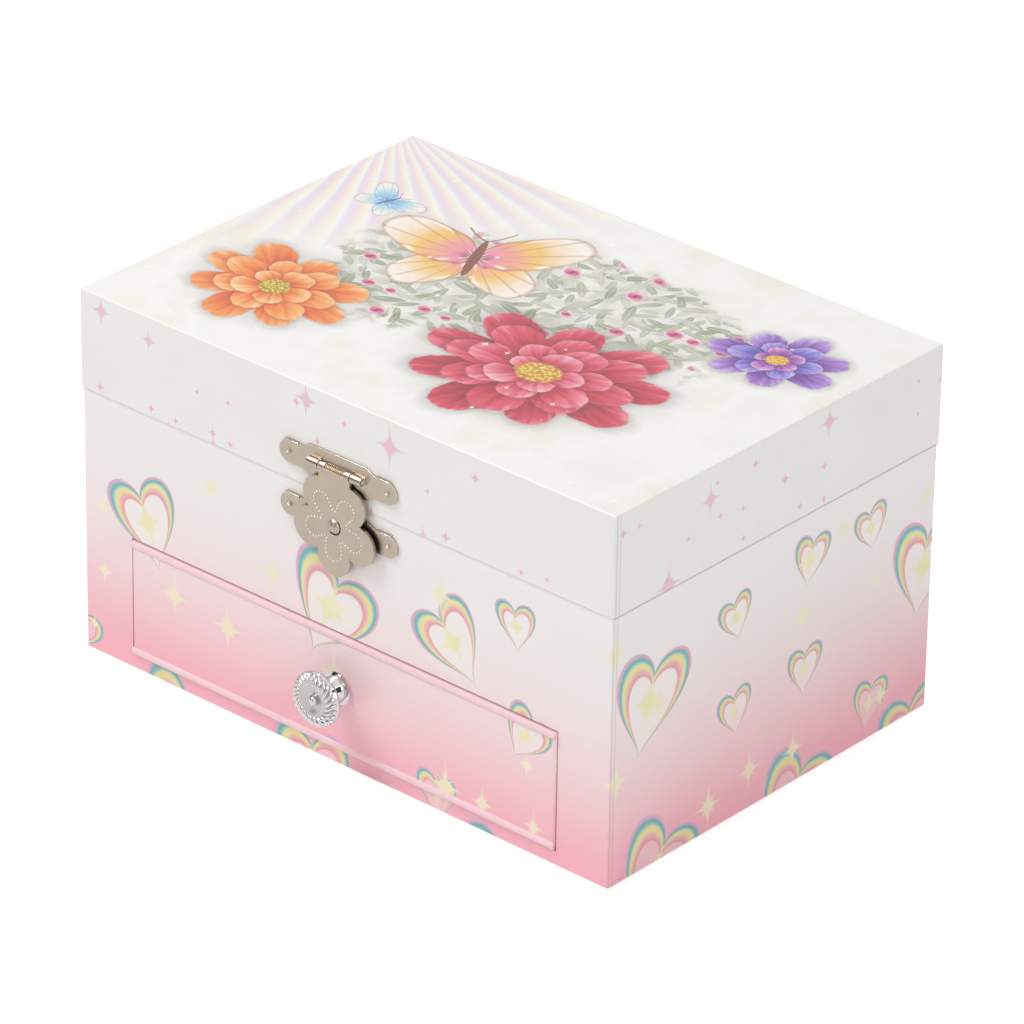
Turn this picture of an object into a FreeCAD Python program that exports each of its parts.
import FreeCAD
import Part
import Sketcher
import math
import os
import re

# Ballerina jewellery box: a board case and lid covered in paper, a flower hasp, one drawer,
# and a wind-up musical movement that turns a dancer who folds down under the closed lid.
# Millimetres. X is the width, Y runs from front to back, Z is up.
# The origin is the middle of the underside. The lid is closed and the dancer lies forward.

Vector = FreeCAD.Vector
Rotation = FreeCAD.Rotation

# Ways to turn a piece that is drawn along its own Z axis
TO_FRONT = Rotation(Vector(1, 0, 0), 90)
TO_BACK = Rotation(Vector(1, 0, 0), -90)
TO_RIGHT = Rotation(Vector(0, 1, 0), 90)
TO_LEFT = Rotation(Vector(0, 1, 0), -90)
UPRIGHT = Rotation()

# Slope of the stud's side under the hasp's flap, in degrees
STUD_TAPER = 35

# Direction of the flap's lowest petal from the flower's middle, in degrees
LOWEST_PETAL = -90

SIZES = {
    # Case
    "case_width": 165.0,
    "case_depth": 115.0,
    "case_height": 69.6,
    "board": 5.0,
    "bottom_board": 3.5,
    "shelf_board": 3.0,
    "corner_round": 0.5,
    "lining": 0.8,
    "lining_drop": 1.0,
    # Drawer
    "window_margin": 15.5,
    "shelf_gap": 1.1,
    "drawer_gap": 0.4,
    "running_gap": 0.3,
    "drawer_proud": 0.5,
    "drawer_front_board": 4.5,
    "drawer_board": 3.5,
    "drawer_floor_board": 2.5,
    "drawer_side_drop": 4.7,
    "guide_height": 9.0,
    "front_round": 0.8,
    "piping_height": 1.9,
    "piping_depth": 0.4,
    # Knob
    "knob_lift": 1.3,
    "knob_base_radius": 4.2,
    "knob_neck_radius": 2.1,
    "knob_face_radius": 6.1,
    "knob_rim_radius": 7.0,
    "knob_length": 10.5,
    "knob_flutes": 20,
    "knob_flute_radius": 0.6,
    "knob_screw_radius": 1.2,
    "knob_screw_depth": 5.0,
    "screw_head": 1.0,
    # Lid
    "lid_height": 25.7,
    "lid_overhang": 0.3,
    "seam_gap": 0.2,
    "lid_top_board": 4.0,
    "lid_edge_round": 0.4,
    "surround_board": 2.5,
    "mirror_glass": 2.2,
    "mirror_width": 112.0,
    "mirror_depth": 72.0,
    "mirror_gap": 0.2,
    # Hinges
    "hinge_inset": 37.5,
    "hinge_standoff": 1.9,
    "leaf_width": 20.0,
    "leaf_height": 9.0,
    "leaf_sheet": 1.0,
    "knuckle_radius": 1.3,
    "knuckle_clear": 0.3,
    "hinge_pin_radius": 0.6,
    "pin_fit": 0.05,
    "leaf_screw_spacing": 12.0,
    "leaf_screw_radius": 0.8,
    # Hasp
    "hasp_lift": 7.2,
    "catch_offset": 0.2,
    "hasp_sheet": 0.6,
    "ear_spacing": 30.6,
    "ear_radius": 2.9,
    "plate_middle": 17.6,
    "plate_height": 8.3,
    "plate_shoulder": 2.4,
    "lip_length": 4.4,
    "lip_depth": 1.1,
    "lip_sheet": 0.7,
    "lip_end": 1.0,
    "hasp_pin_radius": 0.5,
    "hasp_pin_rise": 0.5,
    "hasp_pin_standoff": 1.3,
    "barrel_radius_hasp": 1.1,
    "tongue_width": 9.6,
    "hasp_knuckle": 3.2,
    "flap_sheet": 0.8,
    "flap_standoff": 1.4,
    "flap_drop": 14.1,
    "petals": 5,
    "lobe_distance": 7.9,
    "lobe_radius": 4.95,
    "boss_radius": 1.75,
    "boss_rise": 0.9,
    "stud_radius": 2.0,
    "nail_head_radius": 0.7,
    "nail_head": 0.5,
    "nail_radius": 0.45,
    "nail_length": 4.0,
    # Stage and spindle
    "stage_board": 2.5,
    "stage_gap": 1.5,
    "stage_drop": 1.6,
    "spindle_radius": 1.2,
    "spindle_rise": 1.0,
    "bush_radius": 3.0,
    "bush_flange_radius": 5.5,
    "bush_flange": 0.8,
    "bush_length": 8.5,
    "press_gap": 0.02,
    # Movement
    "bedplate": 2.0,
    "bedplate_round": 1.2,
    "bedplate_lift": 0.5,
    "barrel_radius": 8.9,
    "barrel_length": 10.0,
    "barrel_gap": 0.5,
    "barrel_lift": 0.6,
    "shaft_radius": 1.5,
    "crown_teeth": 24,
    "crown_face": 1.8,
    "crown_tooth_width": 0.55,
    "pinion_teeth": 8,
    "pinion_face": 1.6,
    "pinion_tooth_root": 0.8,
    "pinion_tooth_tip": 0.3,
    "addendum": 0.38,
    "tooth_clear": 0.3,
    "arbor_radius": 0.9,
    "drum_radius": 5.0,
    "drum_length": 18.6,
    "drum_gap": 0.6,
    "drum_pin_radius": 0.2,
    "drum_pin_rise": 0.5,
    "pluck_gap": 0.15,
    "comb_sheet": 1.0,
    "comb_teeth": 18,
    "comb_slot": 0.25,
    "comb_tooth_length": 7.0,
    "comb_land": 3.6,
    "bracket_sheet": 1.2,
    "bracket_height": 7.0,
    "bracket_nose": 3.0,
    "governor_width": 19.0,
    "governor_height": 15.0,
    "governor_depth": 18.0,
    "governor_round": 2.5,
    "movement_screw_radius": 1.0,
    "movement_screw_head": 1.8,
    # Winding key
    "key_hole_radius": 3.5,
    "key_gap": 0.6,
    "key_stem_radius": 2.4,
    "key_stem_length": 8.0,
    "key_wing_radius": 4.2,
    "key_wing_spread": 5.0,
    "key_wing_hole": 1.7,
    "key_wing_sheet": 2.0,
    "escutcheon_radius": 7.0,
    "escutcheon_sheet": 1.0,
    # Stop plunger
    "plunger_radius": 1.0,
    "plunger_collar": 1.8,
    "plunger_collar_height": 1.0,
    "plunger_travel": 2.4,
    "plunger_length": 9.0,
    "plunger_margin": 7.4,
    "plunger_inset": 4.2,
    "stop_pad_width": 5.0,
    "stop_pad_height": 4.0,
    "stop_pad_depth": 6.5,
    # Dancer
    "fold_radius": 3.5,
    "spring_radius": 1.3,
    "end_gap": 0.1,
    "ferrule_radius": 1.7,
    "ferrule": 1.2,
    "leg_length": 22.0,
    "hip_radius": 2.6,
    "waist_radius": 1.9,
    "bust_radius": 2.5,
    "torso_length": 10.0,
    "neck_radius": 0.9,
    "head_radius": 2.9,
    "bun_radius": 1.5,
    "leg_radius": 1.5,
    "toe_radius": 0.7,
    "leg_spread": 2.2,
    "arm_radius": 0.8,
    "arm_length": 11.0,
    "arm_reach": 6.6,
    "hand_gap": 1.6,
    "tutu_radius": 13.5,
    "tutu_sheet": 1.2,
    "tutu_droop": 1.5,
    "tutu_scallops": 12,
    "scallop_radius": 1.1,
}

# Places that several pieces share, worked out from the sizes
PLACES = {
    "half_width": "case_width / 2",
    "half_depth": "case_depth / 2",
    "inner_x": "half_width - board",
    "inner_y": "half_depth - board",
    "drum_reach": "drum_radius + drum_pin_rise",
    "comb_reach": "drum_reach + pluck_gap + comb_tooth_length + comb_land",
    "movement_height": "barrel_lift + barrel_radius + comb_reach",
    "stage_top": "case_height - stage_drop",
    "stage_ceiling": "stage_top - stage_board",
    "shelf_top": "stage_ceiling - stage_gap / 2 - movement_height",
    "shelf_low": "shelf_top - shelf_board",
    "window_top": "shelf_low - shelf_gap",
    "half_window": "half_width - window_margin",
    "drawer_half": "half_window - drawer_gap",
    "drawer_low": "bottom_board + drawer_gap",
    "drawer_top": "window_top - drawer_gap",
    "drawer_face": "-(half_depth + drawer_proud)",
    "drawer_inside": "drawer_face + drawer_front_board",
    "drawer_side": "drawer_half - running_gap",
    "drawer_base": "bottom_board + running_gap",
    "drawer_end": "inner_y - running_gap",
    "drawer_brim": "drawer_top - drawer_side_drop",
    "knob_height": "(drawer_low + drawer_top) / 2 + knob_lift",
    "lid_low": "case_height + seam_gap",
    "lid_high": "lid_low + lid_height",
    "lid_x": "half_width + lid_overhang",
    "lid_y": "half_depth + lid_overhang",
    "lid_inner_x": "lid_x - board",
    "lid_inner_y": "lid_y - board",
    "rail_high": "lid_high - lid_top_board",
    "ceiling": "rail_high - surround_board",
    "hinge_side": "half_width - hinge_inset",
    "hinge_y": "half_depth + hinge_standoff",
    "hinge_z": "case_height + seam_gap / 2",
    "knuckle": "leaf_width / 3",
    "hasp_pin_y": "-(lid_y + hasp_pin_standoff)",
    "hasp_height": "lid_low + hasp_lift",
    "hasp_pin_z": "hasp_height + hasp_pin_rise",
    "flower_height": "hasp_pin_z - flap_drop",
    "catch_height": "flower_height - catch_offset",
    "hasp_front": "-(lid_y + hasp_sheet)",
    "catch_front": "-(half_depth + hasp_sheet)",
    "flap_back": "-(half_depth + flap_standoff)",
    "notch_in": "lobe_distance * cos(180 / petals)",
    "notch_out": "sqrt(lobe_radius^2 - (lobe_distance * sin(180 / petals))^2)",
    "bed_front": "inner_y - bedplate",
    "movement_z": "shelf_top + barrel_radius + barrel_lift",
    "barrel_back": "bed_front - barrel_gap",
    "crown_root": "barrel_back - barrel_length",
    "crown_radius": "barrel_radius - crown_face / 2",
    "pinion_radius": "crown_radius * pinion_teeth / crown_teeth",
    "pinion_tip": "pinion_radius + addendum",
    "pinion_root": "pinion_radius - addendum - tooth_clear",
    "crown_tooth": "2 * addendum + tooth_clear",
    "spindle_y": "crown_root - pinion_tip - tooth_clear",
    "spindle_top": "stage_top + spindle_rise",
    "stage_front": "spindle_y - drum_reach - stage_gap - stage_board",
    "bracket_left": "barrel_radius + barrel_gap",
    "drum_left": "bracket_left + bracket_sheet + drum_gap",
    "drum_right": "drum_left + drum_length",
    "bracket_right": "drum_right + drum_gap",
    "half_bedplate": "bracket_right + bracket_sheet / 2",
    "half_stage": "half_bedplate + stage_gap + stage_board",
    "comb_tip": "movement_z + drum_reach + pluck_gap",
    "comb_top": "movement_z + comb_reach",
    "governor_right": "barrel_radius + 3 * barrel_gap",
    "pinion_start": "crown_radius - pinion_face / 2",
    "key_start": "half_depth + escutcheon_sheet + key_gap",
    "plunger_side": "governor_right + governor_width - plunger_margin",
    "plunger_y": "inner_y - plunger_inset",
    "plunger_top": "lid_low + stop_pad_low - running_gap",
    "stop_pad_low": "seam_gap",
    "fold_z": "spindle_top + end_gap + fold_radius",
    "toe_y": "spindle_y - fold_radius - end_gap",
    "hip_z": "ferrule + leg_length",
    "shoulder_z": "hip_z + torso_length",
    "head_z": "shoulder_z + head_radius + 2 * neck_radius",
}

doc = FreeCAD.newDocument("JewelleryBox")
sheet = doc.addObject("Spreadsheet::Sheet", "Sizes")
places = doc.addObject("App::FeaturePython", "Places")
nodes = []


def bound(text):
    """Put the owner's name before each size or place that an expression names."""

    def owned(match):
        name = match.group()
        if name in SIZES:
            return "Sizes." + name
        if name in PLACES:
            return "Places." + name
        return name

    return re.sub(r"[a-z]\w*", owned, text)


def value(text):
    """The present value of an expression over sizes and places."""
    return float(sheet.evalExpression(bound(text)))


def fill_sheet():
    """Write the sizes into the sheet and tie the shared places to them."""
    for row, (name, size) in enumerate(SIZES.items(), start=1):
        sheet.set(f"A{row}", name)
        sheet.set(f"B{row}", str(size))
        sheet.setAlias(f"B{row}", name)
    for name in PLACES:
        places.addProperty("App::PropertyFloat", name, "Places")
    for name, text in PLACES.items():
        places.setExpression(name, bound(text))
    doc.recompute()


def place(piece, x="0", y="0", z="0", turn=UPRIGHT):
    """Turn a piece and tie its position to the sheet."""
    piece.Placement = FreeCAD.Placement(Vector(), turn)
    for axis, text in zip("xyz", (x, y, z)):
        piece.setExpression("Placement.Base." + axis, bound(text))
    return piece


def node(label, piece):
    """Name a finished sub-part, which is written to a file of that name."""
    piece.Label = label
    nodes.append(piece)
    return piece


def block(x, y, z):
    """A box between a low and a high expression along each axis."""
    box = doc.addObject("Part::Box", "Block")
    for prop, (low, high) in zip(("Length", "Width", "Height"), (x, y, z)):
        box.setExpression(prop, bound(f"({high}) - ({low})"))
    return place(box, x[0], y[0], z[0])


def rod(start, turn, radius, length):
    """A cylinder from a point, along the way that its Z axis is turned."""
    cylinder = doc.addObject("Part::Cylinder", "Rod")
    cylinder.setExpression("Radius", bound(radius))
    cylinder.setExpression("Height", bound(length))
    return place(cylinder, *start, turn=turn)


def cut(base, *tools):
    """The base with each tool taken away."""
    for tool in tools:
        result = doc.addObject("Part::Cut", "Cut")
        result.Base = base
        result.Tool = tool
        base = result
    return base


def fuse(*pieces):
    """One solid made of pieces that overlap."""
    result = doc.addObject("Part::MultiFuse", "Fuse")
    result.Shapes = list(pieces)
    return result


def group(*pieces):
    """Separate solids kept as one sub-part."""
    result = doc.addObject("Part::Compound", "Group")
    result.Links = list(pieces)
    return result


def mirrored(piece):
    """The same piece on the other side of the middle plane."""
    result = doc.addObject("Part::Mirroring", "Mirrored")
    result.Source = piece
    result.Normal = Vector(1, 0, 0)
    return result


def pair(piece):
    """A piece and its mirror image, as separate solids."""
    return group(piece, mirrored(piece))


def arc_geometry(start, finish, radius, hollow):
    """The short arc between two points, bulging to the right of the way, or to the left if hollow."""
    way = finish - start
    half = way.Length / 2
    left = Vector(-way.y, way.x, 0).normalize()
    rise = math.sqrt(max(radius**2 - half**2, 0))
    centre = (start + finish) / 2 + left * (-rise if hollow else rise)
    first, last = (finish, start) if hollow else (start, finish)
    begin = math.atan2(first.y - centre.y, first.x - centre.x)
    end = math.atan2(last.y - centre.y, last.x - centre.x)
    if end <= begin:
        end += 2 * math.pi
    return Part.ArcOfCircle(Part.Circle(centre, Vector(0, 0, 1), radius), begin, end)


def tie(sketch, kind, text, *ends):
    """Add a dimension to a sketch and bind it to an expression."""
    number = sketch.addConstraint(Sketcher.Constraint(kind, *ends, value(text)))
    sketch.setExpression(f"Constraints[{number}]", bound(text))


def outline(sketch, corners):
    """Draw a closed outline, counter-clockwise, with every corner bound to the sheet.

    A corner is (u, v), or (u, v, radius) where a round bulge leads to the next corner,
    or (u, v, radius, "hollow") where a hollow does.
    """
    points = [Vector(value(corner[0]), value(corner[1]), 0) for corner in corners]
    edges = []
    for index, corner in enumerate(corners):
        start = points[index]
        finish = points[(index + 1) % len(points)]
        if len(corner) == 2:
            edge = sketch.addGeometry(Part.LineSegment(start, finish))
            edges.append((edge, 1, 2))
            continue
        hollow = len(corner) == 4
        edge = sketch.addGeometry(arc_geometry(start, finish, value(corner[2]), hollow))
        edges.append((edge, 2, 1) if hollow else (edge, 1, 2))
        tie(sketch, "Radius", corner[2], edge)
    for index, corner in enumerate(corners):
        edge, first, _ = edges[index]
        before, _, last = edges[index - 1]
        sketch.addConstraint(Sketcher.Constraint("Coincident", before, last, edge, first))
        tie(sketch, "DistanceX", corner[0], -1, 1, edge, first)
        tie(sketch, "DistanceY", corner[1], -1, 1, edge, first)


def circle(sketch, u, v, radius):
    """Draw a circle with its centre and radius bound to the sheet."""
    centre = Vector(value(u), value(v), 0)
    edge = sketch.addGeometry(Part.Circle(centre, Vector(0, 0, 1), value(radius)))
    tie(sketch, "Radius", radius, edge)
    tie(sketch, "DistanceX", u, -1, 1, edge, 3)
    tie(sketch, "DistanceY", v, -1, 1, edge, 3)


def rounded(x, y, radius):
    """Corners of a rectangle with four round corners, from a low and a high expression each way."""
    return [
        (f"{x[0]} + {radius}", y[0]),
        (f"{x[1]} - {radius}", y[0], radius),
        (x[1], f"{y[0]} + {radius}"),
        (x[1], f"{y[1]} - {radius}", radius),
        (f"{x[1]} - {radius}", y[1]),
        (f"{x[0]} + {radius}", y[1], radius),
        (x[0], f"{y[1]} - {radius}"),
        (x[0], f"{y[0]} + {radius}", radius),
    ]


class Body:
    """A body made of sketches on its own planes, and the features that use them."""

    def __init__(self):
        self.body = doc.addObject("PartDesign::Body", "Body")

    def sketch(self, plane="XY_Plane", lift="0"):
        """A sketch on one of the body's planes, lifted along that plane's normal."""
        support = next(f for f in self.body.Origin.OriginFeatures if f.Role == plane)
        sketch = self.body.newObject("Sketcher::SketchObject", "Sketch")
        sketch.AttachmentSupport = [(support, "")]
        sketch.MapMode = "FlatFace"
        sketch.setExpression("AttachmentOffset.Base.z", bound(lift))
        return sketch

    def feature(self, kind, sketch, length=None):
        """A feature made from a sketch, with its length bound to the sheet."""
        feature = self.body.newObject("PartDesign::" + kind, kind)
        feature.Profile = sketch
        if length:
            feature.setExpression("Length", bound(length))
        self.body.Tip = feature
        return feature

    def pad(self, corners, length, lift="0"):
        """A plate of a given outline."""
        sketch = self.sketch(lift=lift)
        outline(sketch, corners)
        return self.feature("Pad", sketch, length)

    def disc(self, u, v, radius, length, lift="0"):
        """A round plate or boss."""
        sketch = self.sketch(lift=lift)
        circle(sketch, u, v, radius)
        return self.feature("Pad", sketch, length)

    def holes(self, centres, radius, length, lift):
        """Round holes that run down from a lifted plane."""
        sketch = self.sketch(lift=lift)
        for u, v in centres:
            circle(sketch, u, v, radius)
        return self.feature("Pocket", sketch, length)

    def turned(self, corners):
        """A solid turned about the body's Z axis from a half profile of (radius, height) corners."""
        sketch = self.sketch("XZ_Plane")
        outline(sketch, corners)
        feature = self.feature("Revolution", sketch)
        feature.ReferenceAxis = (sketch, ["V_Axis"])
        feature.Angle = 360
        return feature

    def around(self, feature, count):
        """Copies of a feature spaced evenly about the body's Z axis."""
        pattern = self.body.newObject("PartDesign::PolarPattern", "Around")
        pattern.Originals = [feature]
        pattern.Axis = (feature.Profile[0], ["N_Axis"])
        pattern.Angle = 360
        pattern.setExpression("Occurrences", bound(count))
        self.body.Tip = pattern
        return pattern

    def round_edges(self, feature, radius, chosen):
        """Round the edges of a feature that a test picks."""
        doc.recompute()
        edges = feature.Shape.Edges
        names = [f"Edge{i}" for i, edge in enumerate(edges, start=1) if chosen(edge)]
        fillet = self.body.newObject("PartDesign::Fillet", "Rounded")
        fillet.Base = (feature, names)
        fillet.setExpression("Radius", bound(radius))
        self.body.Tip = fillet
        return fillet

    def at(self, x="0", y="0", z="0", turn=UPRIGHT):
        """Put the finished body in its place."""
        return place(self.body, x, y, z, turn)


def wrapped_board(x, face, inside, low, height, radius):
    """A board with its two outer upright corners rounded under the paper, facing -Y or +Y."""
    board = Body()
    if value(face) < value(inside):
        corners = [
            (f"-{x} + {radius}", face),
            (f"{x} - {radius}", face, radius),
            (x, f"{face} + {radius}"),
            (x, inside),
            (f"-{x}", inside),
            (f"-{x}", f"{face} + {radius}", radius),
        ]
    else:
        corners = [
            (f"-{x}", inside),
            (x, inside),
            (x, f"{face} - {radius}", radius),
            (f"{x} - {radius}", face),
            (f"-{x} + {radius}", face, radius),
            (f"-{x}", f"{face} - {radius}"),
        ]
    board.pad(corners, height, lift=low)
    return board.at()


def pan_screw(point, turn, radius, head_radius, head, length):
    """A small screw whose head sits at a point and whose shank runs back from it."""
    screw = Body()
    screw.turned(
        [
            ("0", f"-{length}"),
            (radius, f"-{length}"),
            (radius, "0"),
            (head_radius, "0"),
            (head_radius, f"{head} * 0.5"),
            (f"{head_radius} * 0.6", head),
            ("0", head),
        ]
    )
    return screw.at(*point, turn=turn)


def make_case():
    """Boards, shelf, guides and linings of the case."""
    front = wrapped_board("half_width", "-half_depth", "-inner_y", "0", "case_height", "corner_round")
    window = block(
        ("-half_window", "half_window"),
        ("-half_depth - board", "board - inner_y"),
        ("bottom_board", "window_top"),
    )
    node("case_front", cut(front, window))
    back = wrapped_board("half_width", "half_depth", "inner_y", "0", "case_height", "corner_round")
    key_hole = rod(("0", "inner_y - board", "movement_z"), TO_BACK, "key_hole_radius", "3 * board")
    node("case_back", cut(back, key_hole))
    walls_y = ("-inner_y", "inner_y")
    walls_x = ("-inner_x", "inner_x")
    node("case_left", block(("-half_width", "-inner_x"), walls_y, ("0", "case_height")))
    node("case_right", block(("inner_x", "half_width"), walls_y, ("0", "case_height")))
    node("case_bottom", block(walls_x, walls_y, ("0", "bottom_board")))
    node("tray_shelf", block(walls_x, walls_y, ("shelf_low", "shelf_top")))
    guide = block(("drawer_half", "inner_x"), walls_y, ("bottom_board", "bottom_board + guide_height"))
    node("drawer_guides", pair(guide))
    skin = block(walls_x, walls_y, ("shelf_top", "case_height - lining_drop"))
    hollow = block(
        ("lining - inner_x", "inner_x - lining"),
        ("lining - inner_y", "inner_y - lining"),
        ("shelf_top + lining", "case_height"),
    )
    footprint = block(
        ("-half_stage", "half_stage"),
        ("stage_front", "half_depth"),
        ("shelf_low", "case_height"),
    )
    node("tray_lining", cut(skin, hollow, footprint))


def make_drawer():
    """The drawer, from its papered front to the lining, with the knob."""
    height = "drawer_top - drawer_low"
    board = wrapped_board("drawer_half", "drawer_face", "drawer_inside", "drawer_low", height, "front_round")
    knob_start = ("0", "drawer_inside", "knob_height")
    bore = rod(knob_start, TO_FRONT, "knob_screw_radius + press_gap", "drawer_front_board")
    node("drawer_front", cut(board, bore))
    for label, low in (
        ("drawer_top_piping", "drawer_top - piping_height"),
        ("drawer_bottom_piping", "drawer_low"),
    ):
        piping = Body()
        bulge = "(piping_height^2 / 4 + piping_depth^2) / (2 * piping_depth)"
        piping.pad([("0", "0", bulge), ("0", "piping_height")], "2 * drawer_half")
        turn = Rotation(Vector(0, -1, 0), Vector(0, 0, 1), Vector(-1, 0, 0), "XYZ")
        node(label, piping.at("drawer_half", "drawer_face", low, turn))
    sides_z = ("drawer_base", "drawer_brim")
    inner = "drawer_side - drawer_board"
    back_y = "drawer_end - drawer_board"
    node("drawer_left", block(("-drawer_side", f"-({inner})"), ("drawer_inside", "drawer_end"), sides_z))
    node("drawer_right", block((inner, "drawer_side"), ("drawer_inside", "drawer_end"), sides_z))
    between = (f"-({inner})", inner)
    node("drawer_back", block(between, (back_y, "drawer_end"), sides_z))
    floor_top = "drawer_base + drawer_floor_board"
    node("drawer_floor", block(between, ("drawer_inside", back_y), ("drawer_base", floor_top)))
    skin = block(between, ("drawer_inside", back_y), (floor_top, f"{sides_z[1]} - lining_drop"))
    hollow = block(
        (f"lining - ({inner})", f"{inner} - lining"),
        ("drawer_inside + lining", f"{back_y} - lining"),
        (f"{floor_top} + lining", sides_z[1]),
    )
    head_room = rod(
        ("0", "drawer_inside + 2 * screw_head", "knob_height"), TO_FRONT, "3 * knob_screw_radius", "board"
    )
    node("drawer_lining", cut(skin, hollow, head_room))
    make_knob()


def make_knob():
    """The turned metal knob with a fluted rim and a dished face, and the screw that holds it."""
    knob = Body()
    neck = "knob_length * 0.36"
    shoulder = "knob_length * 0.56"
    rim = "knob_length * 0.66"
    edge = "knob_length * 0.86"
    dish = "knob_length * 0.9"
    profile = [
        ("0", "0"),
        ("knob_base_radius", "0"),
        ("knob_base_radius", "screw_head * 0.5"),
        ("(knob_base_radius + 2 * knob_neck_radius) / 3", "knob_length * 0.18"),
        ("knob_neck_radius", neck),
        ("knob_face_radius", shoulder),
        ("knob_rim_radius", rim),
        ("knob_rim_radius", edge),
        ("knob_face_radius", "knob_length"),
        ("knob_face_radius * 0.8", "knob_length"),
        ("knob_face_radius * 0.7", dish),
        ("screw_head", dish),
        ("screw_head * 0.8", "knob_length * 0.97"),
        ("0", "knob_length"),
    ]
    knob.turned(profile)
    flute = knob.holes([("knob_rim_radius", "0")], "knob_flute_radius", "knob_length / 2", lift="knob_length")
    knob.around(flute, "knob_flutes")
    stem = "knob_screw_depth - press_gap"
    knob.holes([("0", "0")], "knob_screw_radius + press_gap", "knob_screw_depth", lift="knob_screw_depth")
    node("drawer_knob", knob.at("0", "drawer_face", "knob_height", TO_FRONT))
    shank = f"drawer_front_board + {stem}"
    point = ("0", "drawer_inside", "knob_height")
    head_radius = "2 * knob_screw_radius"
    screw = pan_screw(point, TO_BACK, "knob_screw_radius", head_radius, "screw_head", f"({shank})")
    node("knob_screw", screw)


def make_lid():
    """Top board, rails, mirror and its padded surround."""
    top = Body()
    sheet_corners = rounded(("-lid_x", "lid_x"), ("-lid_y", "lid_y"), "corner_round")
    plate = top.pad(sheet_corners, "lid_top_board", lift="rail_high")
    high = value("lid_high")
    top.round_edges(plate, "lid_edge_round", lambda edge: edge.BoundBox.ZMin > high - 0.01)
    node("lid_top", top.at())
    height = "rail_high - lid_low"
    node("lid_front", wrapped_board("lid_x", "-lid_y", "-lid_inner_y", "lid_low", height, "corner_round"))
    node("lid_back", wrapped_board("lid_x", "lid_y", "lid_inner_y", "lid_low", height, "corner_round"))
    rails_y = ("-lid_inner_y", "lid_inner_y")
    rails_z = ("lid_low", "rail_high")
    node("lid_left", block(("-lid_x", "-lid_inner_x"), rails_y, rails_z))
    node("lid_right", block(("lid_inner_x", "lid_x"), rails_y, rails_z))
    padded = block(("-lid_inner_x", "lid_inner_x"), rails_y, ("ceiling", "rail_high"))
    half = "mirror_width / 2 + mirror_gap"
    deep = "mirror_depth / 2 + mirror_gap"
    frame = block((f"-({half})", half), (f"-({deep})", deep), ("ceiling - board", "rail_high + board"))
    node("mirror_surround", cut(padded, frame))
    mirror = block(
        ("-mirror_width / 2", "mirror_width / 2"),
        ("-mirror_depth / 2", "mirror_depth / 2"),
        ("rail_high - mirror_glass", "rail_high"),
    )
    node("mirror", mirror)
    low = "lid_low + stop_pad_low"
    pad = block(
        ("-plunger_side - stop_pad_width / 2", "stop_pad_width / 2 - plunger_side"),
        ("lid_inner_y - stop_pad_depth", "lid_inner_y"),
        (low, f"{low} + stop_pad_height"),
    )
    node("stop_pad", pad)


def hinge_leaf(face, way, own_knuckles):
    """One leaf of a hinge on the right, with its knuckles round the pin; way is 1 upwards, -1 downwards."""
    left = "hinge_side - leaf_width / 2"
    clear = "knuckle_radius + knuckle_clear"
    ends = [f"hinge_z + {way} * ({clear})", f"hinge_z + {way} * ({clear} + leaf_height)"]
    reach = [f"hinge_z + {way} * hinge_pin_radius", ends[0]]
    if way < 0:
        ends.reverse()
        reach.reverse()
    sheet_y = (face, f"{face} + leaf_sheet")
    pieces = [block((left, f"{left} + leaf_width"), sheet_y, ends)]
    for index in own_knuckles:
        start = f"{left} + {index} * knuckle + knuckle_clear / 2"
        length = "knuckle - knuckle_clear"
        pieces.append(block((start, f"{start} + {length}"), sheet_y, reach))
        pieces.append(rod((start, "hinge_y", "hinge_z"), TO_RIGHT, "knuckle_radius", length))
    tools = [rod((left, "hinge_y", "hinge_z"), TO_RIGHT, "hinge_pin_radius + pin_fit", "leaf_width")]
    screws = []
    for side in (-1, 1):
        x = f"hinge_side + {side} * leaf_screw_spacing / 2"
        z = f"hinge_z + {way} * ({clear} + leaf_height / 2)"
        start = (x, f"{face} - leaf_sheet", z)
        tools.append(rod(start, TO_BACK, "leaf_screw_radius + pin_fit", "3 * leaf_sheet"))
        point = (x, f"{face} + leaf_sheet", z)
        head_radius = "2 * leaf_screw_radius"
        screws.append(pan_screw(point, TO_BACK, "leaf_screw_radius", head_radius, "leaf_sheet / 2", "board"))
    leaf = cut(fuse(*pieces), *tools)
    return leaf, group(*screws)


def make_hinges():
    """Two butt hinges on the back, their pins and screws."""
    case_leaf, case_screws = hinge_leaf("half_depth", -1, (0, 2))
    lid_leaf, lid_screws = hinge_leaf("lid_y", 1, (1,))
    node("hinge_case_leaves", pair(case_leaf))
    node("hinge_lid_leaves", pair(lid_leaf))
    node("hinge_case_screws", group(*case_screws.Links, *[mirrored(s) for s in case_screws.Links]))
    node("hinge_lid_screws", group(*lid_screws.Links, *[mirrored(s) for s in lid_screws.Links]))
    start = ("hinge_side - leaf_width / 2", "hinge_y", "hinge_z")
    node("hinge_pins", pair(rod(start, TO_RIGHT, "hinge_pin_radius", "leaf_width")))


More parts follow.
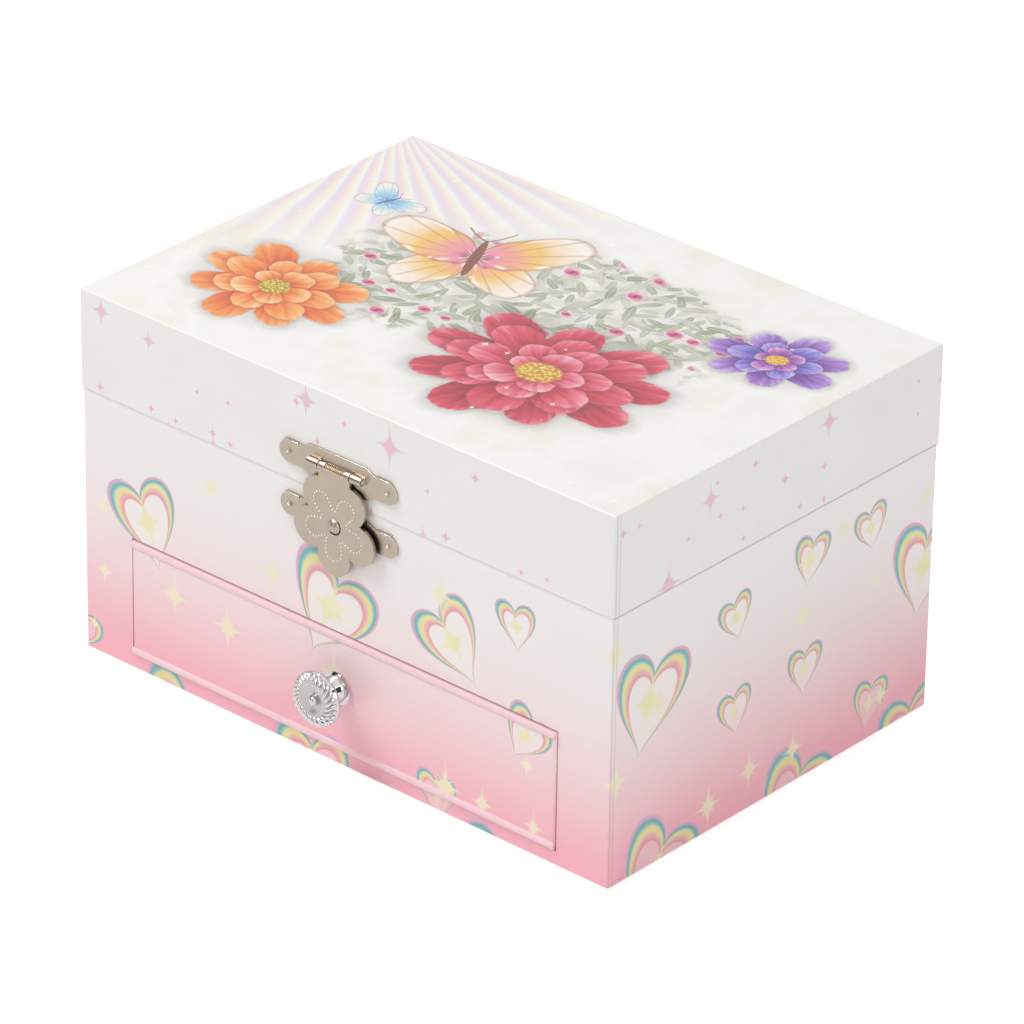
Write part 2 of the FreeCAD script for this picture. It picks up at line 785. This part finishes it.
def hasp_plate():
    """The plate with two round ears that both halves of the hasp share, with its nail holes."""
    middle = "plate_middle / 2"
    shoulder = f"{middle} + plate_shoulder"
    ear = "ear_spacing / 2"
    tip = f"{ear} + ear_radius"
    half = "plate_height / 2"
    right = [
        (middle, f"-{half}"),
        (shoulder, "-ear_radius"),
        (ear, "-ear_radius", "ear_radius"),
        (tip, "0", "ear_radius"),
        (ear, "ear_radius"),
        (shoulder, "ear_radius"),
        (middle, half),
    ]
    left = [
        (f"-({middle})", half),
        (f"-({shoulder})", "ear_radius"),
        (f"-({ear})", "ear_radius", "ear_radius"),
        (f"-({tip})", "0", "ear_radius"),
        (f"-({ear})", "-ear_radius"),
        (f"-({shoulder})", "-ear_radius"),
        (f"-({middle})", f"-{half}"),
    ]
    plate = Body()
    plate.pad(right + left, "hasp_sheet")
    holes = [(ear, "0"), (f"-{ear}", "0")]
    plate.holes(holes, "nail_radius + pin_fit", "hasp_sheet", lift="hasp_sheet")
    return plate


def hasp_lip(face, height):
    """The lip folded back over the top of a hasp plate's right ear, which holds the plate off the paper."""
    ear = "ear_spacing / 2"
    top = f"{height} + ear_radius"
    return block(
        (f"{ear} + lip_end - lip_length", f"{ear} + lip_end"),
        (f"{face} - lip_depth", face),
        (f"{top} - lip_sheet / 2", f"{top} + lip_sheet / 2"),
    )


def hasp_nails(face, height):
    """Two round-headed nails through the ears of a hasp plate."""
    point = ("ear_spacing / 2", face, height)
    nail = pan_screw(point, TO_FRONT, "nail_radius", "nail_head_radius", "nail_head", "nail_length")
    return pair(nail)


def make_hasp():
    """Hinge plate with its pin on the lid, flower flap, and catch plate on the case."""
    plate = hasp_plate().at("0", "-lid_y", "hasp_height", TO_FRONT)
    slot_half = "tongue_width / 2 + knuckle_clear"
    room = "barrel_radius_hasp + knuckle_clear"
    slot = block(
        (f"-({slot_half})", slot_half),
        ("hasp_front - hasp_sheet", "hasp_sheet - lid_y"),
        (f"hasp_pin_z - ({room})", f"hasp_pin_z + {room}"),
    )
    knuckle_start = (slot_half, "hasp_pin_y", "hasp_pin_z")
    knuckle = rod(knuckle_start, TO_RIGHT, "barrel_radius_hasp", "hasp_knuckle")
    end = f"{slot_half} + hasp_knuckle"
    bore_start = (f"-({end})", "hasp_pin_y", "hasp_pin_z")
    bore = rod(bore_start, TO_RIGHT, "hasp_pin_radius + pin_fit", f"2 * ({end})")
    lip = hasp_lip("-lid_y", "hasp_height")
    solid = fuse(cut(plate, slot), knuckle, mirrored(knuckle), lip, mirrored(lip))
    node("hasp_hinge_plate", cut(solid, bore))
    node("hasp_pin", rod(bore_start, TO_RIGHT, "hasp_pin_radius", f"2 * ({end})"))
    node("hasp_lid_nails", hasp_nails("hasp_front", "hasp_height"))
    catch = hasp_plate()
    stud_rise = "flap_standoff - hasp_sheet - running_gap"
    stud = catch.disc("0", "0", "stud_radius", stud_rise, lift="hasp_sheet")
    stud.TaperAngle = -STUD_TAPER
    lip = hasp_lip("-half_depth", "catch_height")
    plate = catch.at("0", "-half_depth", "catch_height", TO_FRONT)
    node("hasp_catch_plate", fuse(plate, lip, mirrored(lip)))
    node("hasp_case_nails", hasp_nails("catch_front", "catch_height"))
    make_flap()


def make_flap():
    """The five-lobed flap, its domed boss, and the tongue that curls round the pin."""
    petals = []
    notch = "(notch_in + notch_out)"
    tip = "(lobe_distance + lobe_radius)"
    for lobe in range(SIZES["petals"]):
        out = f"(360 / petals * {lobe} + {LOWEST_PETAL})"
        between = f"({out} - 180 / petals)"
        petals.append((f"{notch} * cos({between})", f"{notch} * sin({between})", "lobe_radius"))
        petals.append((f"{tip} * cos({out})", f"{tip} * sin({out})", "lobe_radius"))
    flower = Body()
    flower.pad(petals, "flap_sheet")
    dome = "(boss_radius^2 + boss_rise^2) / (2 * boss_rise)"
    boss = Body()
    boss.turned(
        [
            ("0", "0"),
            ("boss_radius", "0"),
            ("boss_radius", "flap_sheet", dome),
            ("0", "flap_sheet + boss_rise"),
        ]
    )
    boss.at("0", "flap_back", "flower_height", TO_FRONT)
    flower.at("0", "flap_back", "flower_height", TO_FRONT)
    half = "tongue_width / 2"
    tongue = block(
        (f"-{half}", half),
        ("flap_back - flap_sheet", "flap_back"),
        ("flower_height + lobe_distance", "hasp_pin_z - hasp_pin_radius - pin_fit"),
    )
    start = (f"-{half}", "hasp_pin_y", "hasp_pin_z")
    curl = rod(start, TO_RIGHT, "barrel_radius_hasp", "tongue_width")
    bore = rod(start, TO_RIGHT, "hasp_pin_radius + pin_fit", "tongue_width")
    node("hasp_flap", cut(fuse(flower.body, boss.body, tongue, curl), bore))


def make_stage():
    """The cover over the movement, the spindle's bush and the stop plunger."""
    shell = block(("-half_stage", "half_stage"), ("stage_front", "inner_y"), ("shelf_top", "stage_top"))
    room = block(
        ("stage_board - half_stage", "half_stage - stage_board"),
        ("stage_front + stage_board", "half_depth"),
        ("shelf_low", "stage_ceiling"),
    )
    low = "stage_ceiling - board"
    bush_hole = rod(("0", "spindle_y", low), UPRIGHT, "bush_radius + press_gap", "3 * board")
    plunger_start = ("-plunger_side", "plunger_y", low)
    plunger_hole = rod(plunger_start, UPRIGHT, "plunger_radius + pin_fit", "3 * board")
    node("stage_cover", cut(shell, room, bush_hole, plunger_hole))
    bush = Body()
    bore = "spindle_radius + pin_fit"
    bush.turned(
        [
            (bore, "-bush_length"),
            ("bush_radius", "-bush_length"),
            ("bush_radius", "0"),
            ("bush_flange_radius", "0"),
            ("bush_flange_radius - bush_flange / 2", "bush_flange"),
            (bore, "bush_flange"),
        ]
    )
    node("spindle_bush", bush.at("0", "spindle_y", "stage_top"))
    plunger = Body()
    collar = "plunger_top - stage_ceiling + plunger_travel + running_gap"
    plunger.turned(
        [
            ("0", "-plunger_length"),
            ("plunger_radius", "-plunger_length"),
            ("plunger_radius", f"-({collar}) - plunger_collar_height"),
            ("plunger_collar", f"-({collar}) - plunger_collar_height"),
            ("plunger_collar", f"-({collar})"),
            ("plunger_radius", f"-({collar})"),
            ("plunger_radius", "-plunger_radius / 2"),
            ("plunger_radius / 2", "0"),
            ("0", "0"),
        ]
    )
    node("stop_plunger", plunger.at("-plunger_side", "plunger_y", "plunger_top"))


def meshed(turn):
    """The turn of a pinion's shaft, with a gap between its teeth facing the crown wheel."""
    half_pitch = 180 / value("pinion_teeth")
    return turn.multiply(Rotation(Vector(0, 0, 1), half_pitch))


def pinion(shaft_low, shaft_high, shaft_radius, pinion_low):
    """A shaft along Z with the root of a small pinion on it."""
    gear = Body()
    face_low = pinion_low
    face_high = f"{pinion_low} + pinion_face"
    gear.turned(
        [
            ("0", shaft_low),
            (shaft_radius, shaft_low),
            (shaft_radius, face_low),
            ("pinion_root", face_low),
            ("pinion_root", face_high),
            (shaft_radius, face_high),
            (shaft_radius, shaft_high),
            ("0", shaft_high),
        ]
    )
    return gear


def pinion_teeth(gear, pinion_low):
    """Thin tapering teeth round a pinion."""
    foot = "pinion_root * 0.9"
    tooth = gear.pad(
        [
            (foot, "-pinion_tooth_root / 2"),
            ("pinion_tip", "-pinion_tooth_tip / 2"),
            ("pinion_tip", "pinion_tooth_tip / 2"),
            (foot, "pinion_tooth_root / 2"),
        ],
        "pinion_face",
        lift=pinion_low,
    )
    gear.around(tooth, "pinion_teeth")
    return gear


def make_drive():
    """Winding key, shaft and spring barrel with its crown wheel, which turn together."""
    barrel = Body()
    bore = "shaft_radius + press_gap"
    barrel.turned(
        [
            (bore, "0"),
            ("barrel_radius", "0"),
            ("barrel_radius", "barrel_length"),
            (bore, "barrel_length"),
        ]
    )
    half = "crown_tooth_width / 2"
    tooth = barrel.pad(
        [
            ("barrel_radius - crown_face", f"-{half}"),
            ("barrel_radius", f"-{half}"),
            ("barrel_radius", half),
            ("barrel_radius - crown_face", half),
        ],
        "crown_tooth",
        lift="barrel_length",
    )
    barrel.around(tooth, "crown_teeth")
    node("spring_barrel", barrel.at("0", "barrel_back", "movement_z", TO_FRONT))
    key_bore = "key_stem_length / 2"
    shaft_length = f"key_start + {key_bore} - press_gap - crown_root"
    node("winding_shaft", rod(("0", "crown_root", "movement_z"), TO_BACK, "shaft_radius", shaft_length))
    key = Body()
    key.turned(
        [
            (bore, "0"),
            ("key_stem_radius", "0"),
            ("key_stem_radius", "key_stem_length"),
            ("key_stem_radius / 2", "key_stem_length + key_stem_radius / 2"),
            ("0", "key_stem_length + key_stem_radius / 2"),
            ("0", key_bore),
            (bore, key_bore),
        ]
    )
    stem = key.at("0", "key_start", "movement_z", TO_BACK)
    wing_y = "key_start + key_stem_length"
    low = "movement_z - key_wing_sheet / 2"
    wing = rod(("key_wing_spread", wing_y, low), UPRIGHT, "key_wing_radius", "key_wing_sheet")
    eye_low = f"{low} - key_wing_sheet"
    eye = rod(("key_wing_spread", wing_y, eye_low), UPRIGHT, "key_wing_hole", "3 * key_wing_sheet")
    node("winding_key", cut(fuse(stem, wing, mirrored(wing)), eye, mirrored(eye)))
    escutcheon = Body()
    escutcheon.turned(
        [
            ("key_hole_radius", "0"),
            ("escutcheon_radius", "0"),
            ("escutcheon_radius", "escutcheon_sheet / 3"),
            ("key_hole_radius + escutcheon_sheet", "escutcheon_sheet"),
            ("key_hole_radius", "escutcheon_sheet"),
        ]
    )
    node("key_escutcheon", escutcheon.at("0", "half_depth", "movement_z", TO_BACK))


def make_bedplate():
    """The plate that carries the movement, its screws, the arbor brackets and the governor."""
    low = "shelf_top + bedplate_lift - movement_z"
    top = f"{low} + movement_height - 1.5 * bedplate_lift"
    plate = Body()
    plate.pad(rounded(("-half_bedplate", "half_bedplate"), (low, top), "bedplate_round"), "bedplate")
    plate.holes([("0", "0")], "shaft_radius + pin_fit", "bedplate", lift="bedplate")
    high = f"{top} - 2 * movement_screw_head"
    drum_middle = "drum_left + drum_length / 2"
    spots = [
        ("2 * movement_screw_head - half_bedplate", high),
        (drum_middle, f"{low} + 2 * movement_screw_head"),
        ("0", high),
    ]
    plate.holes(spots, "movement_screw_radius + pin_fit", "bedplate", lift="bedplate")
    node("movement_bedplate", plate.at("0", "inner_y", "movement_z", TO_FRONT))
    screws = []
    for x, z in spots:
        point = (x, "bed_front", f"movement_z + {z}")
        screws.append(
            pan_screw(point, TO_FRONT, "movement_screw_radius", "movement_screw_head", "screw_head", "board")
        )
    node("movement_screws", group(*screws))
    brackets = []
    for left in ("bracket_left", "bracket_right"):
        nose = "spindle_y - bracket_nose"
        tall = "bracket_height / 2"
        arm = Body()
        arm.pad(
            [
                (f"-{tall}", f"{nose} + {tall}"),
                (f"-{tall} + bedplate_round", nose),
                (f"{tall} - bedplate_round", nose),
                (tall, f"{nose} + {tall}"),
                (tall, "bed_front"),
                (f"-{tall}", "bed_front"),
            ],
            "bracket_sheet",
        )
        arm.holes([("0", "spindle_y")], "arbor_radius + pin_fit", "bracket_sheet", lift="bracket_sheet")
        brackets.append(arm.at(left, "0", "movement_z", TO_RIGHT))
    node("cylinder_brackets", group(*brackets))
    housing = Body()
    tall = "governor_height / 2"
    left = "-governor_right - governor_width"
    housing.pad(rounded((left, "-governor_right"), (f"-{tall}", tall), "governor_round"), "governor_depth")
    casing = housing.at("0", "bed_front", "movement_z", TO_FRONT)
    bore_start = ("-governor_right", "spindle_y", "movement_z")
    bore = rod(bore_start, TO_LEFT, "arbor_radius + pin_fit", "governor_width / 3")
    node("governor_housing", cut(casing, bore))


def make_comb():
    """The tuned comb, the bracket that holds it level with the drum, and its screws."""
    comb = Body()
    plate_corners = [
        ("0", "comb_tip"),
        ("drum_length", "comb_tip"),
        ("drum_length", "comb_top"),
        ("0", "comb_top"),
    ]
    comb.pad(plate_corners, "comb_sheet")
    pitch = "drum_length / comb_teeth"
    slot = comb.sketch(lift="comb_sheet")
    outline(
        slot,
        [
            (f"{pitch} - comb_slot / 2", "comb_tip - comb_slot"),
            (f"{pitch} + comb_slot / 2", "comb_tip - comb_slot"),
            (f"{pitch} + comb_slot / 2", "comb_tip + comb_tooth_length"),
            (f"{pitch} - comb_slot / 2", "comb_tip + comb_tooth_length"),
        ],
    )
    saw = comb.feature("Pocket", slot, "comb_sheet")
    row = comb.body.newObject("PartDesign::LinearPattern", "Row")
    row.Originals = [saw]
    row.Direction = (slot, ["H_Axis"])
    row.setExpression("Length", bound(f"drum_length - 2 * {pitch}"))
    row.setExpression("Occurrences", bound("comb_teeth - 1"))
    comb.body.Tip = row
    land = "comb_top - comb_land / 2"
    spots = [("drum_length / 4", land), ("drum_length * 3 / 4", land)]
    comb.holes(spots, "movement_screw_radius + pin_fit", "comb_sheet", lift="comb_sheet")
    back = "spindle_y + comb_sheet / 2"
    node("music_comb", comb.at("drum_left", back, "0", TO_FRONT))
    bracket_z = ("comb_top - comb_land", "comb_top")
    node("comb_bracket", block(("drum_left", "drum_right"), (back, "bed_front"), bracket_z))
    screws = []
    for x, z in spots:
        point = (f"drum_left + {x}", f"{back} - comb_sheet", z)
        screws.append(
            pan_screw(point, TO_FRONT, "movement_screw_radius", "comb_land / 2", "screw_head", "board")
        )
    node("comb_screws", group(*screws))


def make_cylinder():
    """The pinned drum, and the arbor with the pinion that the crown wheel turns."""
    arbor_end = "bracket_right + bracket_sheet - pinion_start"
    arbor = pinion("-barrel_gap", arbor_end, "arbor_radius", "0")
    pinion_teeth(arbor, "0")
    node("cylinder_arbor", arbor.at("pinion_start", "spindle_y", "movement_z", meshed(TO_RIGHT)))
    drum = Part.makeCylinder(value("drum_radius"), value("drum_length"))
    drum = drum.cut(Part.makeCylinder(value("arbor_radius + press_gap"), value("drum_length")))
    pitch = value("drum_length / comb_teeth")
    foot = value("drum_radius * 0.9")
    reach = value("drum_radius * 0.1 + drum_pin_rise")
    thick = value("drum_pin_radius")
    pins = []
    for tooth in range(int(value("comb_teeth"))):
        for beat in range(2):
            angle = (tooth * 67 + beat * 131) % 360
            corner = Vector(foot, -thick, (tooth + 0.5) * pitch - thick)
            pin = Part.makeBox(reach, 2 * thick, 2 * thick, corner)
            pin.rotate(Vector(0, 0, 0), Vector(0, 0, 1), angle)
            pins.append(pin)
    feature = doc.addObject("Part::Feature", "Drum")
    feature.Shape = drum.fuse(pins)
    node("music_cylinder", place(feature, "drum_left", "spindle_y", "movement_z", TO_RIGHT))
    seat = "governor_right - pinion_start - pinion_face + governor_width / 4"
    governor = pinion(f"-({seat})", "pinion_face + barrel_gap", "arbor_radius", "0")
    pinion_teeth(governor, "0")
    governor_x = "-pinion_start - pinion_face"
    node("governor_pinion", governor.at(governor_x, "spindle_y", "movement_z", meshed(TO_RIGHT)))


def limb(start, finish):
    """A rod between two points of the figure's XZ plane, given as (x, z)."""
    rise = f"({finish[1]} - ({start[1]}))"
    across = f"({finish[0]} - ({start[0]}))"
    length = f"sqrt({rise}^2 + {across}^2)"
    lean = math.degrees(math.atan2(value(across), value(rise)))
    return rod((start[0], "0", start[1]), Rotation(Vector(0, 1, 0), lean), "arm_radius", length)


def make_dancer():
    """Spindle, the coil spring as the tube it fills, the figure and her tutu."""
    low = "movement_z + crown_radius - pinion_face / 2"
    spindle = pinion(f"{low} - pinion_face", "spindle_top", "spindle_radius", low)
    pinion_teeth(spindle, low)
    node("dancer_spindle", spindle.at("0", "spindle_y", "0", meshed(UPRIGHT)))
    spring = doc.addObject("Part::Torus", "Spring")
    spring.setExpression("Radius1", bound("fold_radius"))
    spring.setExpression("Radius2", bound("spring_radius"))
    spring.Angle3 = 90
    turn = Rotation(Vector(0, 1, 0), Vector(0, 0, 1), Vector(1, 0, 0), "XYZ")
    node("figure_spring", place(spring, "0", "spindle_y - fold_radius", "spindle_top + end_gap", turn))
    figure = Body()
    figure.turned(
        [
            ("0", "hip_z - hip_radius"),
            ("hip_radius", "hip_z"),
            ("waist_radius", "hip_z + torso_length * 0.4"),
            ("bust_radius", "hip_z + torso_length * 0.75"),
            ("neck_radius", "shoulder_z"),
            ("neck_radius", "head_z - sqrt(head_radius^2 - neck_radius^2)", "head_radius"),
            ("head_radius", "head_z", "head_radius"),
            ("0", "head_z + head_radius"),
        ]
    )
    bun = doc.addObject("Part::Sphere", "Bun")
    bun.setExpression("Radius", bound("bun_radius"))
    place(bun, "0", "head_radius * 0.6", "head_z + head_radius")
    bend = ("arm_reach", "shoulder_z + arm_length / 2")
    upper = limb(("0", "shoulder_z - arm_radius"), bend)
    lower = limb(bend, ("hand_gap", "shoulder_z + arm_length * 1.3"))
    elbow = doc.addObject("Part::Sphere", "Elbow")
    elbow.setExpression("Radius", bound("arm_radius"))
    place(elbow, bend[0], "0", bend[1])
    arm = fuse(upper, elbow, lower)
    leg = doc.addObject("Part::Cone", "Leg")
    leg.setExpression("Radius1", bound("toe_radius"))
    leg.setExpression("Radius2", bound("leg_radius"))
    leg.setExpression("Height", bound("leg_length + ferrule / 2"))
    place(leg, "leg_spread / 2", "0", "ferrule / 2")
    ferrule = rod(("0", "0", "0"), UPRIGHT, "ferrule_radius", "ferrule")
    doll = fuse(figure.body, bun, arm, mirrored(arm), leg, mirrored(leg), ferrule)
    node("dancer_figure", place(doll, "0", "toe_y", "fold_z", TO_FRONT))
    tutu = Body()
    waist = "hip_radius + press_gap"
    rim = "tutu_radius"
    tutu.turned(
        [
            (waist, "0"),
            (rim, "-tutu_droop"),
            (rim, "tutu_sheet / 2 - tutu_droop"),
            (waist, "tutu_sheet"),
        ]
    )
    scallop = tutu.holes([(rim, "0")], "scallop_radius", "2 * tutu_droop + tutu_sheet", lift="tutu_sheet")
    tutu.around(scallop, "tutu_scallops")
    node("dancer_tutu", tutu.at("0", "toe_y - hip_z", "fold_z", TO_FRONT))


def check_and_write():
    """Stop on any failed object, then write every sub-part to its own file."""
    doc.recompute()
    for item in doc.Objects:
        if "Invalid" in item.State or "Error" in item.State:
            raise RuntimeError(f"{item.Name} ({item.Label}) failed: {item.State}")
    os.makedirs("parts", exist_ok=True)
    for piece in nodes:
        shape = piece.Shape
        if shape.isNull() or not shape.isValid() or not shape.Solids:
            raise RuntimeError(f"{piece.Label} has no valid solid")
        shape.exportStep(f"parts/{piece.Label}.step")
        box = shape.BoundBox
        print(f"{piece.Label}: {len(shape.Solids)} solid(s), {shape.Volume:.1f} mm3")
        print(f"    from {box.XMin:.2f}, {box.YMin:.2f}, {box.ZMin:.2f}")
        print(f"    to {box.XMax:.2f}, {box.YMax:.2f}, {box.ZMax:.2f}")


fill_sheet()
make_case()
make_drawer()
make_lid()
make_hinges()
make_hasp()
make_stage()
make_drive()
make_bedplate()
make_comb()
make_cylinder()
make_dancer()
check_and_write()
